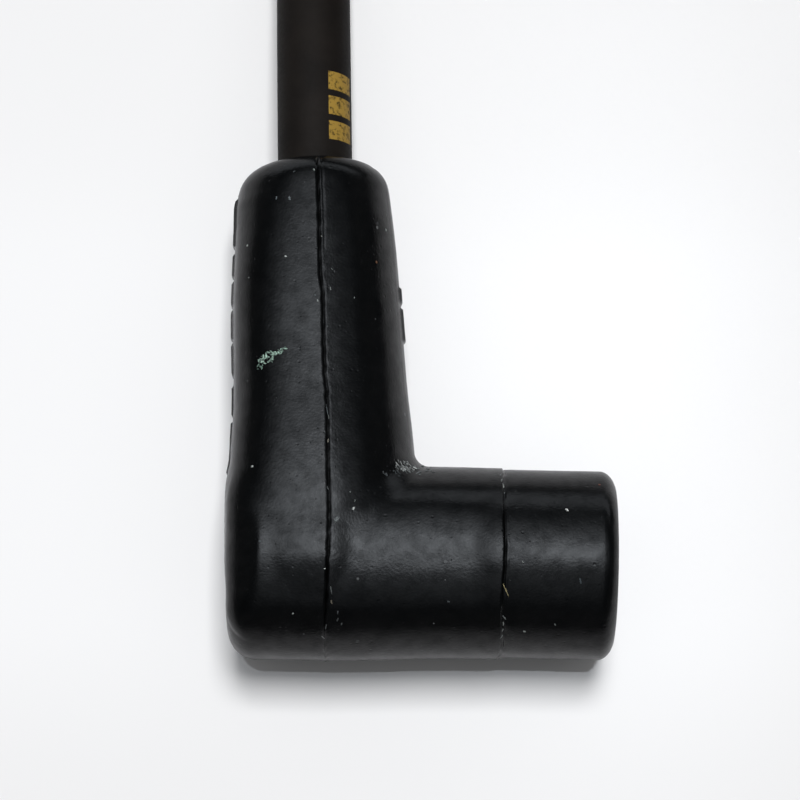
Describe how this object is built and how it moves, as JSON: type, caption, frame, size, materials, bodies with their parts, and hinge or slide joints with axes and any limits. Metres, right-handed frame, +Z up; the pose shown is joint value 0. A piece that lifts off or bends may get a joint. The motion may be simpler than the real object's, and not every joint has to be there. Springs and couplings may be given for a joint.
{
  "type": "spark plug wire",
  "caption": "Ignition lead with a moulded rubber elbow boot, a snap terminal inside it, a tied coil of thick insulated wire and a straight boot at the far end.",
  "frame": {"origin": "on the table under the middle of the elbow boot", "axes": "+X out of the elbow boot's socket, +Y towards the far end of the wire, +Z up"},
  "size_m": [0.0986, 0.1781, 0.0202],
  "materials": {
    "boot_rubber": "moulded, satin with a soft sheen",
    "wire_jacket": "extruded, matte brownish black with gold print",
    "terminal_steel": "stamped and plated",
    "clip_brass": "drawn wire",
    "core_carbon": "carbon-filled cord, matte",
    "tie_nylon": "moulded nylon"
  },
  "bodies": {
    "root": {"plug_boot": "boot_rubber", "plug_terminal": "terminal_steel", "plug_terminal_clip": "clip_brass", "plug_end_core": "core_carbon", "wire_lead": "wire_jacket", "wire_coil": "wire_jacket", "wire_tail": "wire_jacket", "coil_tie_1": "tie_nylon", "coil_tie_2": "tie_nylon", "coil_tie_3": "tie_nylon", "distributor_boot": "boot_rubber", "distributor_terminal": "terminal_steel", "distributor_terminal_clip": "clip_brass", "distributor_end_core": "core_carbon"}
  },
  "joints": []
}
